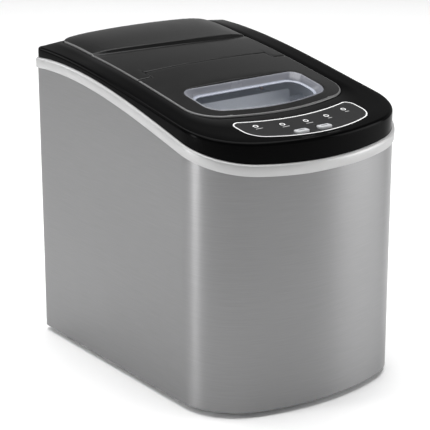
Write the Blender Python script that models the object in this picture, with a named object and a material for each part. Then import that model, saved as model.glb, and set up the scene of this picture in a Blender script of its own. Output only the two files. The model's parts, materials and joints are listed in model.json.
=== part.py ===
"""Countertop bullet-ice maker with a tilting lid, a lift-out basket and its cooling circuit.

The frame has +Z up, the front towards -Y and the origin on the ground under the middle.
Lengths below are millimetres; MM turns them into Blender's metres as meshes are made.
"""

import math

import bmesh
import bpy
from mathutils import Matrix, Vector

MM = 0.001
GAP = 0.3  # room left between neighbouring pieces

# Steel case, seen from above: straight sides, a bowed front and large front corners.
CASE_WIDTH = 246.0
CASE_DEPTH = 338.0
SHEET = 0.8
REAR_CORNER = 8.0
FRONT_CORNER = 66.5
FRONT_RADIUS = 249.5
FOOT_HEIGHT = 6.0
BASE_RIM = 22.0

# The case's sweeping top edge and the lid deck above it, each as
# (front height, front slope, rear height, rear slope).
TRIM_SWEEP = (242.5, 0.223, 295.4, -0.106)
DECK_SWEEP = (276.5, 0.112, 318.8, -0.016)
TRIM_HEIGHT = 11.5
TRIM_PROUD = 2.0

# The panel of lid and rear cover that fills the opening in the black deck.
PANEL_HALF = 95.0
PANEL_FRONT = -101.0
PANEL_REAR = 160.0
PANEL_RADIUS = 265.0
PANEL_CORNER = 35.0
PANEL_REAR_CORNER = 14.0
PANEL_CROWN = 3.0
CROWN_RUN = 60.0  # how far behind its front edge the panel reaches its full crown
RISE_START = 60.0
RISE_END = 150.0
RISE_EDGE = 1.2
RISE_CROWN = 3.4
PANEL_THICKNESS = 2.6
LEDGE = 5.0
LEDGE_DROP = 3.4

# Lid hinge, tongue and ears.
HINGE_Y = 25.0
HINGE_DROP = 3.5
TONGUE_HALF = 76.6
TONGUE_REAR = 30.8
EAR_FRONT = 19.0
EAR_HALF = 89.0
LID_SHOULDER = 18.0
LIP_DROP = 0.35
TONGUE_SWING = 1.7  # room behind the tongue, which swings up through it
PIN_RADIUS = 1.5
PIN_LENGTH = 24.5

# Window in the lid.
WINDOW_HALF = 74.0
WINDOW_REAR = -23.0
WINDOW_FRONT = -89.0
WINDOW_RADIUS = 210.0
WINDOW_CORNER = 20.0
WINDOW_REAR_CORNER = 12.0

# Control panel.
OVERLAY_HALF = 75.0
OVERLAY_REAR = -106.0
OVERLAY_FRONT = -159.0
OVERLAY_RADIUS = 160.0
OVERLAY_CORNER = 24.0
OVERLAY_REAR_CORNER = 9.0
OVERLAY_SAG = 10.0  # how far the middle of its rear edge bows forwards
LED_SPACING = 27.3
LED_FRONT = -129.5
LED_BOW_RADIUS = 180.0
BUTTON_CENTRES = {"select": (-22.0, -150.0), "power": (6.0, -150.0)}
BUTTON_SIZE = (15.0, 8.0)
BUTTON_TRAVEL = 1.2
BOARD_TOP = 264.0

# Water reservoir and its insulation.
TANK_HALF = 84.0
TANK_FRONT = -94.0
TANK_REAR = 42.0
TANK_FLOOR = 60.0
TANK_WALL = 2.5
TANK_CORNER = 24.0
TANK_RIM_DROP = 10.5
FOAM = 11.0
FOAM_TOP = 225.0
DRAIN = (-55.0, -70.0)

# Ice making: tray, shovel and evaporator.
TRAY_AXIS = (20.0, 252.0)
TRAY_HALF = 66.0
TRAY_FRONT = -16.0
TRAY_REAR = 18.0
TRAY_FLOOR = 230.0
SHOVEL_AXIS = (-22.0, 272.0)
SHOVEL_HALF = 60.0
FINGER_ROWS = ((-4.0, (-48.0, -24.0, 0.0, 24.0, 48.0)), (8.0, (-36.0, -12.0, 12.0, 36.0)))
FINGER_RADIUS = 4.0
FINGER_TIP = 236.0
EVAPORATOR_LOW = 268.0

# Basket.
BASKET_HALF = 76.0
BASKET_FRONT = -88.0
BASKET_REAR = -34.0
BASKET_Z = (150.0, 238.0)

# Compressor, condenser and fan behind the tank.
COMPRESSOR = (-56.0, 110.0)
COMPRESSOR_RADIUS = 45.0
FAN = (64.0, 95.0)  # x and z of the fan's axis
FAN_RADIUS = 36.0
GLAND = (-90.0, 36.0)  # x and z of the mains lead's gland in the rear panel
CONDENSER = ((18.0, 126.0, 26.0), (110.0, 150.0, 176.0))

MATERIALS = {}


# ---- Materials ---------------------------------------------------------------------------


def material(name, colour, roughness, metallic=0.0, alpha=1.0):
    """One Principled material for one sub-part."""
    made = bpy.data.materials.new(name)
    made.use_nodes = True
    shader = made.node_tree.nodes["Principled BSDF"]
    shader.inputs["Base Color"].default_value = (*colour, 1.0)
    shader.inputs["Roughness"].default_value = roughness
    shader.inputs["Metallic"].default_value = metallic
    shader.inputs["Alpha"].default_value = alpha
    return made


def looks(kind):
    """The colour, roughness, metallic value and alpha of a kind of surface."""
    return {
        "steel": ((0.42, 0.42, 0.43), 0.35, 1.0),
        "silver": ((0.62, 0.62, 0.62), 0.4, 0.6),
        "gloss_black": ((0.006, 0.006, 0.007), 0.12),
        "satin_black": ((0.03, 0.03, 0.032), 0.3),
        "clear": ((0.75, 0.8, 0.85), 0.05, 0.0, 0.35),
        "overlay": ((0.012, 0.012, 0.013), 0.35),
        "light": ((0.5, 0.5, 0.5), 0.3),
        "button_grey": ((0.5, 0.51, 0.52), 0.4),
        "white": ((0.8, 0.82, 0.84), 0.35),
        "grey": ((0.35, 0.36, 0.38), 0.45),
        "foam": ((0.75, 0.72, 0.6), 0.9),
        "copper": ((0.75, 0.36, 0.2), 0.3, 1.0),
        "fins": ((0.45, 0.45, 0.46), 0.4, 1.0),
        "nickel": ((0.6, 0.6, 0.58), 0.25, 1.0),
        "rubber": ((0.02, 0.02, 0.02), 0.8),
        "plain_black": ((0.025, 0.025, 0.027), 0.5),
        "painted": ((0.02, 0.02, 0.022), 0.45),
        "galvanised": ((0.5, 0.51, 0.52), 0.5, 0.9),
        "board": ((0.02, 0.18, 0.07), 0.5),
        "screw": ((0.35, 0.35, 0.35), 0.3, 1.0),
    }[kind]


# ---- Making meshes -----------------------------------------------------------------------


def finish(name, mesh_builder, kind, smooth=True):
    """Turns a bmesh in millimetres into a named object in metres with its own material."""
    bmesh.ops.recalc_face_normals(mesh_builder, faces=mesh_builder.faces)
    bmesh.ops.scale(mesh_builder, vec=Vector((MM, MM, MM)), verts=mesh_builder.verts)
    data = bpy.data.meshes.new(name)
    mesh_builder.to_mesh(data)
    mesh_builder.free()
    if smooth:
        data.shade_smooth()
        data.set_sharp_from_angle(angle=math.radians(35))
    made = bpy.data.objects.new(name, data)
    bpy.context.scene.collection.objects.link(made)
    data.materials.append(material(name, *looks(kind)))
    return made


def lofted(name, rings, kind, joined_ends=False, smooth=True):
    """Skins closed rings of points in order. Flat caps close it, or the last ring joins the first."""
    build = bmesh.new()
    rows = [[build.verts.new(point) for point in ring] for ring in rings]
    pairs = list(zip(rows, rows[1:]))
    if joined_ends:
        pairs.append((rows[-1], rows[0]))
    count = len(rows[0])
    for low, high in pairs:
        for i in range(count):
            j = (i + 1) % count
            build.faces.new((low[i], low[j], high[j], high[i]))
    if not joined_ends:
        build.faces.new(rows[0])
        build.faces.new(rows[-1])
    return finish(name, build, kind, smooth)


def turned(name, profile, kind, centre=(0.0, 0.0, 0.0), axis="Z", steps=16):
    """A solid of revolution from (radius, height) points, along the named axis from its centre."""
    build = bmesh.new()
    rows = []
    for radius, height in profile:
        count = 1 if radius == 0 else steps
        row = []
        for i in range(count):
            turn = 2 * math.pi * i / steps
            row.append(build.verts.new((radius * math.cos(turn), radius * math.sin(turn), height)))
        rows.append(row)
    for low, high in zip(rows, rows[1:]):
        for i in range(steps):
            j = (i + 1) % steps
            if len(low) == 1:
                build.faces.new((low[0], high[j], high[i]))
            elif len(high) == 1:
                build.faces.new((low[i], low[j], high[0]))
            else:
                build.faces.new((low[i], low[j], high[j], high[i]))
    for row in (rows[0], rows[-1]):
        if len(row) > 1:
            build.faces.new(row)
    turn = {"X": Matrix.Rotation(math.pi / 2, 4, "Y"), "Y": Matrix.Rotation(-math.pi / 2, 4, "X")}
    if axis in turn:
        bmesh.ops.transform(build, matrix=turn[axis], verts=build.verts)
    bmesh.ops.translate(build, vec=Vector(centre), verts=build.verts)
    return finish(name, build, kind)


def rod(name, radius, start, length, kind, axis="Z", steps=12):
    """A plain round bar from its start point along an axis."""
    return turned(name, [(radius, 0.0), (radius, length)], kind, start, axis, steps)


def block(name, low, high, kind, bevel=0.0):
    """A box between two corners, its edges bevelled if asked."""
    build = bmesh.new()
    bmesh.ops.create_cube(build, size=1.0)
    size = Vector(high) - Vector(low)
    bmesh.ops.scale(build, vec=size, verts=build.verts)
    bmesh.ops.translate(build, vec=(Vector(high) + Vector(low)) / 2, verts=build.verts)
    if bevel:
        bmesh.ops.bevel(build, geom=build.edges[:], offset=bevel, segments=1, affect="EDGES")
    return finish(name, build, kind, smooth=False)


def bar(name, x_range, outline, kind):
    """A prism along X with the given (y, z) outline."""
    rings = [[(x, y, z) for y, z in outline] for x in x_range]
    return lofted(name, rings, kind, smooth=False)


def tube(name, points, radius, kind, sides=2):
    """A round tube along a smooth curve through the points, with closed ends."""
    curve = bpy.data.curves.new(name, "CURVE")
    curve.dimensions = "3D"
    curve.bevel_depth = radius * MM
    curve.bevel_resolution = sides
    curve.use_fill_caps = True
    spline = curve.splines.new("POLY")
    path = smooth_path(points)
    spline.points.add(len(path) - 1)
    for knot, point in zip(spline.points, path):
        knot.co = (*(point * MM), 1.0)
    made = bpy.data.objects.new(name, curve)
    bpy.context.scene.collection.objects.link(made)
    curve.materials.append(material(name, *looks(kind)))
    return made


def smooth_path(points, steps=4):
    """Points along the Catmull-Rom curve through the given ones."""
    knots = [Vector(point) for point in points]
    knots = [2 * knots[0] - knots[1], *knots, 2 * knots[-1] - knots[-2]]
    path = []
    for a, b, c, d in zip(knots, knots[1:], knots[2:], knots[3:]):
        for step in range(steps):
            t = step / steps
            squared = (2 * a - 5 * b + 4 * c - d) * t**2
            cubed = (3 * b - a - 3 * c + d) * t**3
            path.append(0.5 * (2 * b + (c - a) * t + squared + cubed))
    return [*path, knots[-2]]


def helper(piece):
    """Marks a piece as a construction shape, which is not part of the object."""
    piece.hide_render = True
    piece.display_type = "WIRE"
    return piece


def combine(target, operation, pieces):
    """Cuts helper pieces from the target, or joins them to it."""
    for piece in pieces:
        step = target.modifiers.new(piece.name, "BOOLEAN")
        step.operation = operation
        step.object = helper(piece)
    return target


def cut(target, *pieces):
    return combine(target, "DIFFERENCE", pieces)


def join(target, *pieces):
    return combine(target, "UNION", pieces)


def put_origin(piece, point):
    """Moves a piece's origin to a point, and leaves its shape where it is."""
    place = Vector(point) * MM
    piece.data.transform(Matrix.Translation(-place))
    piece.location = place


def put_on_axis(point, *pieces):
    """Puts the origins of a moving piece and of its boolean helpers on its joint's axis."""
    for piece in pieces:
        put_origin(piece, point)


# ---- Outlines and surfaces ---------------------------------------------------------------


def arc(centre, radius, start, end, steps):
    """Points on an arc between two angles in degrees."""
    points = []
    for i in range(steps + 1):
        turn = math.radians(start + (end - start) * i / steps)
        points.append((centre[0] + radius * math.cos(turn), centre[1] + radius * math.sin(turn)))
    return points


def bowed_outline(half, front, rear, bow, corner, rear_corner, inset=0.0):
    """A plan outline with straight sides, a bowed front and rounded corners, drawn in by inset.

    Every such outline has the same number of points, so that outlines can be lofted together.
    """
    bow_y = front + bow
    half, rear, bow = half - inset, rear - inset, bow - inset
    corner = max(corner - inset, 1.0)
    rear_corner = max(rear_corner - inset, 0.5)
    corner_x = half - corner
    corner_y = bow_y - math.sqrt((bow - corner) ** 2 - corner_x**2)
    swing = math.degrees(math.atan2(corner_x, bow_y - corner_y))
    left_rear = arc((rear_corner - half, rear - rear_corner), rear_corner, 90, 180, 3)
    left_front = arc((-corner_x, corner_y), corner, 180, 270 - swing, 6)
    front_arc = arc((0.0, bow_y), bow, 270 - swing, 270 + swing, 10)[1:-1]
    side_steps = 8
    top_y, low_y = left_rear[-1][1], left_front[0][1]
    side = [(-half, top_y + (low_y - top_y) * i / side_steps) for i in range(1, side_steps)]
    left = left_rear + side + left_front
    right = [(-x, y) for x, y in reversed(left)]
    return left + front_arc + right


def case_outline(inset=0.0):
    return bowed_outline(
        CASE_WIDTH / 2, -CASE_DEPTH / 2, CASE_DEPTH / 2, FRONT_RADIUS, FRONT_CORNER, REAR_CORNER, inset
    )


def panel_outline(inset=0.0):
    return bowed_outline(
        PANEL_HALF, PANEL_FRONT, PANEL_REAR, PANEL_RADIUS, PANEL_CORNER, PANEL_REAR_CORNER, inset
    )


def window_outline(inset=0.0):
    return bowed_outline(
        WINDOW_HALF, WINDOW_FRONT, WINDOW_REAR, WINDOW_RADIUS, WINDOW_CORNER, WINDOW_REAR_CORNER, inset
    )


def tank_outline(inset=0.0):
    return bowed_outline(TANK_HALF, TANK_FRONT, TANK_REAR, PANEL_RADIUS, TANK_CORNER, 10.0, inset)


def overlay_outline(inset=0.0):
    """The control panel's curved band, whose rear edge bows forwards with its front edge."""
    band = bowed_outline(
        OVERLAY_HALF, OVERLAY_FRONT, OVERLAY_REAR, OVERLAY_RADIUS, OVERLAY_CORNER, OVERLAY_REAR_CORNER, inset
    )
    reach = OVERLAY_HALF - OVERLAY_REAR_CORNER
    steps = 10
    for i in range(1, steps):
        across = 1 - 2 * i / steps
        sag = OVERLAY_SAG * (1 - across**2)
        band.append((reach * across, OVERLAY_REAR - inset - sag))
    return band


def mixed(first, second, share):
    """The outline part of the way from one outline to another."""
    return [
        (a[0] + (b[0] - a[0]) * share, a[1] + (b[1] - a[1]) * share) for a, b in zip(first, second)
    ]


def sweep(curve, y):
    """Height of a sweeping edge at a place from front to rear, as a cubic between its two ends."""
    low, low_slope, high, high_slope = curve
    t = min(max((y + CASE_DEPTH / 2) / CASE_DEPTH, 0.0), 1.0)
    return (
        low * (2 * t**3 - 3 * t**2 + 1)
        + low_slope * CASE_DEPTH * (t**3 - 2 * t**2 + t)
        + high * (3 * t**2 - 2 * t**3)
        + high_slope * CASE_DEPTH * (t**3 - t**2)
    )


def trim_height(y):
    return sweep(TRIM_SWEEP, y)


def deck_height(y):
    return sweep(DECK_SWEEP, y)


def panel_height(x, y):
    """The surface of the lid and the rear cover, crowned across and rolled down at its front edge."""
    across = min(abs(x) / PANEL_HALF, 1.0)
    along = min(max((y - PANEL_FRONT) / CROWN_RUN, 0.0), 1.0)
    crown = PANEL_CROWN * (1 - across**2) * (1 - (1 - along) ** 2)
    return deck_height(y) + GAP + crown + rear_rise(across, y)


def rear_rise(across, y):
    """The extra height of the rear cover, which climbs smoothly behind the hinge."""
    share = min(max((y - RISE_START) / (RISE_END - RISE_START), 0.0), 1.0)
    return share * share * (3 - 2 * share) * (RISE_EDGE + RISE_CROWN * (1 - across**2))


def lifted(outline, height):
    """A ring of points at a height that is a number, or a function of x and y."""
    if callable(height):
        return [(x, y, height(x, y)) for x, y in outline]
    return [(x, y, height) for x, y in outline]


def shrunk(outline, share):
    """The outline drawn in towards the middle of its length."""
    middle = (max(y for _, y in outline) + min(y for _, y in outline)) / 2
    return [(x * share, middle + (y - middle) * share) for x, y in outline]


def skin(name, outline, top, bottom, kind):
    """A solid between two surfaces over an outline, with rings drawn in so that both keep their curve."""
    shares = (1.0, 0.8, 0.55, 0.3, 0.08)
    under = [lifted(shrunk(outline, share), bottom) for share in reversed(shares)]
    over = [lifted(shrunk(outline, share), top) for share in shares]
    return lofted(name, under + over, kind)


HINGE_Z = deck_height(HINGE_Y) - HINGE_DROP


# ---- Case --------------------------------------------------------------------------------


def make_base_pan():
    rings = [
        lifted(case_outline(1.4), FOOT_HEIGHT),
        lifted(case_outline(1.4), BASE_RIM),
        lifted(case_outline(3.4), BASE_RIM),
        lifted(case_outline(3.4), FOOT_HEIGHT + 3),
    ]
    pan = lofted("base_pan", rings, "galvanised", smooth=False)
    cut(pan, rod("drain_way", 10.0, (*DRAIN, 0.0), 30.0, "white", steps=16))


def make_feet():
    profile = [(8.5, 0.0), (10.0, 1.5), (10.0, FOOT_HEIGHT - GAP)]
    for end, y in (("front", -112.0), ("rear", 140.0)):
        for side, x in (("left", -92.0), ("right", 92.0)):
            turned(f"foot_{end}_{side}", profile, "rubber", (x, y, 0.0))


def wrap_path(inset):
    """The case outline from one rear flange round the front to the other."""
    flange = CASE_WIDTH / 2 - 22.0
    around = case_outline(inset)
    rear = CASE_DEPTH / 2 - inset
    return [(-flange, rear), *around, (flange, rear)]


def make_outer_casing():
    """A bent sheet: outer and inner faces, both edges and the two flange ends."""
    build = bmesh.new()
    rows = []
    for path in (wrap_path(0.0), wrap_path(SHEET)):
        low = [build.verts.new((x, y, FOOT_HEIGHT)) for x, y in path]
        high = [build.verts.new((x, y, trim_height(y))) for x, y in path]
        rows.append((low, high))
    (outer_low, outer_high), (inner_low, inner_high) = rows
    loop = (outer_low, outer_high, inner_high, inner_low)
    for row, following in zip(loop, loop[1:] + loop[:1]):
        for i in range(len(row) - 1):
            build.faces.new((row[i], row[i + 1], following[i + 1], following[i]))
    for end in (0, -1):
        build.faces.new([row[end] for row in loop])
    finish("outer_casing", build, "steel")


def make_rear_panel():
    rear = CASE_DEPTH / 2 - SHEET - GAP
    panel = block("rear_panel", (-114.5, rear - 1.2, BASE_RIM + GAP), (114.5, rear, 292.0), "galvanised")
    slots = []
    for column, x in (("left", -104.0), ("right", 24.0)):
        for i in range(8):
            z = 60.0 + 13.0 * i
            low, high = (x, rear - 3, z), (x + 80.0, rear + 3, z + 5.0)
            slots.append(block(f"slot_{column}_{i}", low, high, "steel"))
    cut(panel, *slots, rod("gland_way", 6.6, (GLAND[0], rear - 3, GLAND[1]), 8.0, "steel", "Y"))
    for side, x in (("left", -108.0), ("right", 108.0)):
        for level, z in (("low", 45.0), ("high", 270.0)):
            head = [(3.6, 0.0), (3.6, 0.8), (2.4, 1.5)]
            turned(f"rear_screw_{level}_{side}", head, "screw", (x, CASE_DEPTH / 2 + 0.2, z), "Y", 10)


def make_cord_gland():
    rear = CASE_DEPTH / 2 - SHEET - GAP
    profile = [(2.9, -8.0), (6.0, -8.0), (6.0, 1.6), (5.0, 2.4), (2.9, 2.4)]
    rings = []
    for radius, along in profile:
        ring = arc(GLAND, radius, 0, 330, 11)
        rings.append([(x, rear + along - 0.3, z) for x, z in ring])
    lofted("cord_gland", rings, "rubber", joined_ends=True)


def make_trim_ring():
    rings = [
        lifted(case_outline(-TRIM_PROUD + 0.6), lambda x, y: trim_height(y) + GAP),
        lifted(case_outline(-TRIM_PROUD), lambda x, y: trim_height(y) + 2.0),
        lifted(case_outline(-TRIM_PROUD), lambda x, y: trim_height(y) + TRIM_HEIGHT - 2.0),
        lifted(case_outline(-TRIM_PROUD + 1.0), lambda x, y: trim_height(y) + TRIM_HEIGHT),
        lifted(case_outline(2.2), lambda x, y: trim_height(y) + TRIM_HEIGHT),
        lifted(case_outline(2.2), lambda x, y: trim_height(y) + GAP),
    ]
    lofted("trim_ring", rings, "silver", joined_ends=True)


def deck(drop):
    """A surface a set distance under the deck's sweep."""
    return lambda x, y: deck_height(y) - drop


def above_trim(rise):
    """A surface a set distance above the trim's lower edge."""
    return lambda x, y: trim_height(y) + rise


def make_top_housing():
    foot = above_trim(TRIM_HEIGHT + GAP)
    shoulder = case_outline(4.0)
    opening = panel_outline()
    rings = [
        lifted(case_outline(0.4), foot),
        lifted(case_outline(1.2), deck(3.4)),
        lifted(case_outline(2.2), deck(1.8)),
        lifted(shoulder, deck(1.1)),
        lifted(mixed(shoulder, opening, 0.35), deck(0.8)),
        lifted(mixed(shoulder, opening, 0.7), deck(0.6)),
        lifted(opening, deck(0.5)),
        lifted(opening, deck(LEDGE_DROP)),
        lifted(panel_outline(LEDGE), deck(LEDGE_DROP)),
        lifted(panel_outline(LEDGE), deck(LEDGE_DROP + 2.2)),
        lifted(panel_outline(-2.5), deck(LEDGE_DROP + 2.2)),
        lifted(mixed(shoulder, opening, 0.7), deck(3.4)),
        lifted(case_outline(5.0), deck(4.0)),
        lifted(case_outline(3.4), foot),
    ]
    housing = lofted("top_housing", rings, "gloss_black", joined_ends=True)
    cut(housing, *control_cutters("housing"))


# ---- Lid and rear cover ------------------------------------------------------------------


def panel_solid(name, kind):
    """The whole crowned panel, before the seam divides it."""
    return skin(
        name,
        panel_outline(0.6),
        panel_height,
        lambda x, y: panel_height(x, y) - PANEL_THICKNESS,
        kind,
    )


def make_rear_cover():
    cover = panel_solid("rear_cover", "satin_black")
    lip = HINGE_Z + HINGE_DROP + PANEL_CROWN - LIP_DROP
    rear = TONGUE_REAR + TONGUE_SWING
    tongue_room = [
        (-130.0, 200.0),
        (-130.0, 340.0),
        (rear, 340.0),
        (rear, lip),
        (rear + 20.0, lip - 20.0),
        (rear + 20.0, 200.0),
    ]
    lid_room = [(-130.0, 200.0), (-130.0, 340.0), (EAR_FRONT, 340.0), (EAR_FRONT, 200.0)]
    half = TONGUE_HALF + 0.7
    bore_half = EAR_HALF - 2.0
    for side in (-1, 1):
        inner, outer = side * (half + 0.2), side * EAR_HALF
        low = (min(inner, outer), EAR_FRONT + 0.3, HINGE_Z - 4.5)
        high = (max(inner, outer), 36.0, HINGE_Z + HINGE_DROP - 0.6)
        join(cover, block(f"ear_{side + 1}", low, high, "satin_black"))
    cut(
        cover,
        bar("tongue_room", (-half, half), tongue_room, "white"),
        bar("lid_room_left", (-120.0, -half + 1), lid_room, "white"),
        bar("lid_room_right", (half - 1, 120.0), lid_room, "white"),
        rod("ear_bore", PIN_RADIUS + 0.25, (-bore_half, HINGE_Y, HINGE_Z), 2 * bore_half, "white", "X"),
    )


def make_lid():
    lid = panel_solid("lid_frame", "satin_black")
    top = HINGE_Z + HINGE_DROP
    cover_room = [(TONGUE_REAR, 200.0), (TONGUE_REAR, 340.0), (200.0, 340.0), (200.0, 200.0)]
    ear_room = [
        (LID_SHOULDER - 1.5, 200.0),
        (LID_SHOULDER - 1.5, top - 2.0),
        (LID_SHOULDER, top),
        (LID_SHOULDER, 340.0),
        (200.0, 340.0),
        (200.0, 200.0),
    ]
    knuckles = []
    for side in (-1, 1):
        inner, outer = side * 60.0, side * (TONGUE_HALF - 0.2)
        low = (min(inner, outer), 21.0, HINGE_Z - 3.4)
        high = (max(inner, outer), TONGUE_REAR - 0.3, top - 0.4)
        knuckles.append(block(f"knuckle_{side + 1}", low, high, "satin_black"))
    through = [lifted(window_outline(), 200.0), lifted(window_outline(), 340.0)]
    window = lofted("window_way", through, "white", smooth=False)
    cutters = [
        bar("cover_room", (-120.0, 120.0), cover_room, "white"),
        bar("ear_room_left", (-120.0, -TONGUE_HALF), ear_room, "white"),
        bar("ear_room_right", (TONGUE_HALF, 120.0), ear_room, "white"),
        rod("knuckle_bore", PIN_RADIUS + 0.25, (-90.0, HINGE_Y, HINGE_Z), 180.0, "white", "X"),
        window,
    ]
    join(lid, *knuckles)
    cut(lid, *cutters)
    pane = skin(
        "lid_window",
        window_outline(GAP),
        lambda x, y: panel_height(x, y) - 0.4,
        lambda x, y: panel_height(x, y) - 2.4,
        "clear",
    )
    put_on_axis((0.0, HINGE_Y, HINGE_Z), lid, pane, *knuckles, *cutters)
    for side, x in (("left", 2.5 - EAR_HALF), ("right", 62.0)):
        rod(f"hinge_pin_{side}", PIN_RADIUS, (x, HINGE_Y, HINGE_Z), PIN_LENGTH, "screw", "X")


# ---- Control panel -----------------------------------------------------------------------


def led_centres():
    """The lamps' places on a bow that follows the front."""
    centres = []
    for i in range(-2, 3):
        x = i * LED_SPACING
        lift = LED_BOW_RADIUS - math.sqrt(LED_BOW_RADIUS**2 - x**2)
        centres.append((x, LED_FRONT + lift))
    return centres


def control_cutters(owner):
    """Holes for the lamps and the buttons, with a little room round each."""
    made = []
    for i, (x, y) in enumerate(led_centres()):
        made.append(rod(f"{owner}_lamp_way_{i}", 2.1, (x, y, 240.0), 60.0, "white", steps=8))
    for name, (x, y) in BUTTON_CENTRES.items():
        half = [size / 2 + GAP for size in BUTTON_SIZE]
        low, high = (x - half[0], y - half[1], 240.0), (x + half[0], y + half[1], 300.0)
        made.append(block(f"{owner}_{name}_way", low, high, "white"))
    return made


def make_controls():
    overlay = skin("control_overlay", overlay_outline(), deck(-0.4), deck(0.2), "overlay")
    cut(overlay, *control_cutters("overlay"))
    board = block("panel_board", (-66.0, -153.0, BOARD_TOP - 1.6), (66.0, -120.0, BOARD_TOP), "board")
    for i, (x, y) in enumerate(led_centres()):
        low = BOARD_TOP + GAP
        profile = [(2.4, 0.0), (2.4, 3.0), (1.8, 3.0), (1.8, deck_height(y) + 0.6 - low)]
        turned(f"status_lamp_{i + 1}", profile, "light", (x, y, low), steps=8)
    for name, (x, y) in BUTTON_CENTRES.items():
        half = [size / 2 for size in BUTTON_SIZE]
        top = deck_height(y) + 1.8
        stem = BOARD_TOP + 3.4 + BUTTON_TRAVEL + 0.4
        switch_low, switch_high = (x - 3, y - 3, BOARD_TOP - 1), (x + 3, y + 3, BOARD_TOP + 3.4)
        switch = block(f"switch_{name}", switch_low, switch_high, "painted")
        join(board, switch)
        low, high = (x - half[0], y - half[1], stem), (x + half[0], y + half[1], top)
        button = block(f"button_{name}", low, high, "button_grey", bevel=0.6)
        put_origin(button, (x, y, top))


# ---- Reservoir, basket and ice making ----------------------------------------------------


def make_tank():
    rim = deck(TANK_RIM_DROP)
    outer = tank_outline(-TANK_WALL)
    rings = [
        lifted(outer, TANK_FLOOR - TANK_WALL),
        lifted(outer, 160.0),
        lifted(outer, rim),
        lifted(tank_outline(), rim),
        lifted(tank_outline(), 160.0),
        lifted(tank_outline(), TANK_FLOOR),
    ]
    tank = lofted("reservoir_tank", rings, "white")
    spout = rod("spout", 7.0, (*DRAIN, 12.0), TANK_FLOOR - 13.0, "white")
    rails = [
        block(f"basket_rail_{side}", (x, -68.0, 143.0), (x + 18.5, -40.0, BASKET_Z[0] - GAP), "white")
        for side, x in (("left", -84.5), ("right", 66.0))
    ]
    join(tank, spout, *rails)
    y, z = TRAY_AXIS
    shovel_y, shovel_z = SHOVEL_AXIS
    cut(
        tank,
        rod("spout_bore", 5.0, (*DRAIN, 5.0), TANK_FLOOR, "white"),
        rod("tray_bore", 3.6, (-95.0, y, z), 190.0, "white", "X"),
        rod("shovel_bore", 2.8, (-95.0, shovel_y, shovel_z), 190.0, "white", "X"),
        block("tube_notch_left", (-74.0, 30.0, 266.0), (-52.0, 60.0, 330.0), "white"),
        block("tube_notch_right", (52.0, 30.0, 266.0), (74.0, 60.0, 330.0), "white"),
    )


def make_insulation():
    outer = tank_outline(-TANK_WALL - GAP - FOAM)
    pocket = tank_outline(-TANK_WALL - GAP - 0.1)
    floor = TANK_FLOOR - TANK_WALL
    rings = [
        lifted(outer, floor - 10.0),
        lifted(outer, FOAM_TOP),
        lifted(pocket, FOAM_TOP),
        lifted(pocket, floor - GAP),
    ]
    foam = lofted("insulation", rings, "foam", smooth=False)
    cut(foam, rod("foam_drain_way", 8.0, (*DRAIN, 20.0), 60.0, "foam"))


def make_drain_cap():
    profile = [(9.0, 1.5), (9.0, 4.5), (6.8, 5.0), (6.8, 11.5), (4.7, 11.7), (4.7, 20.0)]
    cap = turned("drain_cap", profile, "rubber", (*DRAIN, 0.0))
    put_origin(cap, (*DRAIN, 4.5))


def box_outline(low, high, inset):
    """A rectangle in plan, drawn in by inset."""
    x0, x1 = low[0] + inset, high[0] - inset
    y0, y1 = low[1] + inset, high[1] - inset
    return [(x0, y0), (x1, y0), (x1, y1), (x0, y1)]


def basket_outline(inset=0.0):
    return bowed_outline(BASKET_HALF, BASKET_FRONT, BASKET_REAR, PANEL_RADIUS, 20.0, 10.0, inset)


def make_basket():
    low, high = BASKET_Z
    taper, wall = 4.0, 2.0
    rings = [
        lifted(basket_outline(taper), low),
        lifted(basket_outline(), high),
        lifted(basket_outline(wall), high),
        lifted(basket_outline(taper + wall), low + wall),
    ]
    basket = lofted("ice_basket", rings, "grey", smooth=False)
    slots = []
    for i in range(7):
        x = -60.0 + 20.0 * i
        slots.append(block(f"basket_slot_{i}", (x - 4, -72.0, low - 5), (x + 4, -46.0, low + 6), "grey"))
    cut(basket, *slots)
    put_on_axis((0.0, (BASKET_FRONT + BASKET_REAR) / 2, low), basket, *slots)


def make_tray():
    y, z = TRAY_AXIS
    low, high, wall = (-TRAY_HALF, TRAY_FRONT), (TRAY_HALF, TRAY_REAR), 1.6
    rings = [
        lifted(box_outline(low, high, 0.0), TRAY_FLOOR),
        lifted(box_outline(low, high, 0.0), z),
        lifted(box_outline(low, high, wall), z),
        lifted(box_outline(low, high, wall), TRAY_FLOOR + wall),
    ]
    tray = lofted("water_tray", rings, "white", smooth=False)
    stubs = []
    for side, x in (("left", -85.5), ("right", TRAY_HALF - 1.0)):
        stubs.append(rod(f"tray_stub_{side}", 3.2, (x, y, z), 20.5, "white", "X"))
        ear_x = -TRAY_HALF if side == "left" else TRAY_HALF - 1.6
        stubs.append(block(f"tray_ear_{side}", (ear_x, 12.0, 240.0), (ear_x + 1.6, 23.0, 255.0), "white"))
    join(tray, *stubs)
    put_on_axis((0.0, y, z), tray, *stubs)


def make_shovel():
    y, z = SHOVEL_AXIS
    blade = block("ice_shovel", (-SHOVEL_HALF, y - 1.2, 241.0), (SHOVEL_HALF, y + 1.2, z), "white")
    shaft = rod("shovel_shaft", 2.4, (-85.5, y, z), 171.0, "white", "X")
    gaps = []
    for i in range(5):
        x = -48.0 + 24.0 * i
        gaps.append(block(f"shovel_gap_{i}", (x - 4, y - 5, 235.0), (x + 4, y + 5, 256.0), "white"))
    join(blade, shaft)
    cut(blade, *gaps)
    put_on_axis((0.0, y, z), blade, shaft, *gaps)


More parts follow.
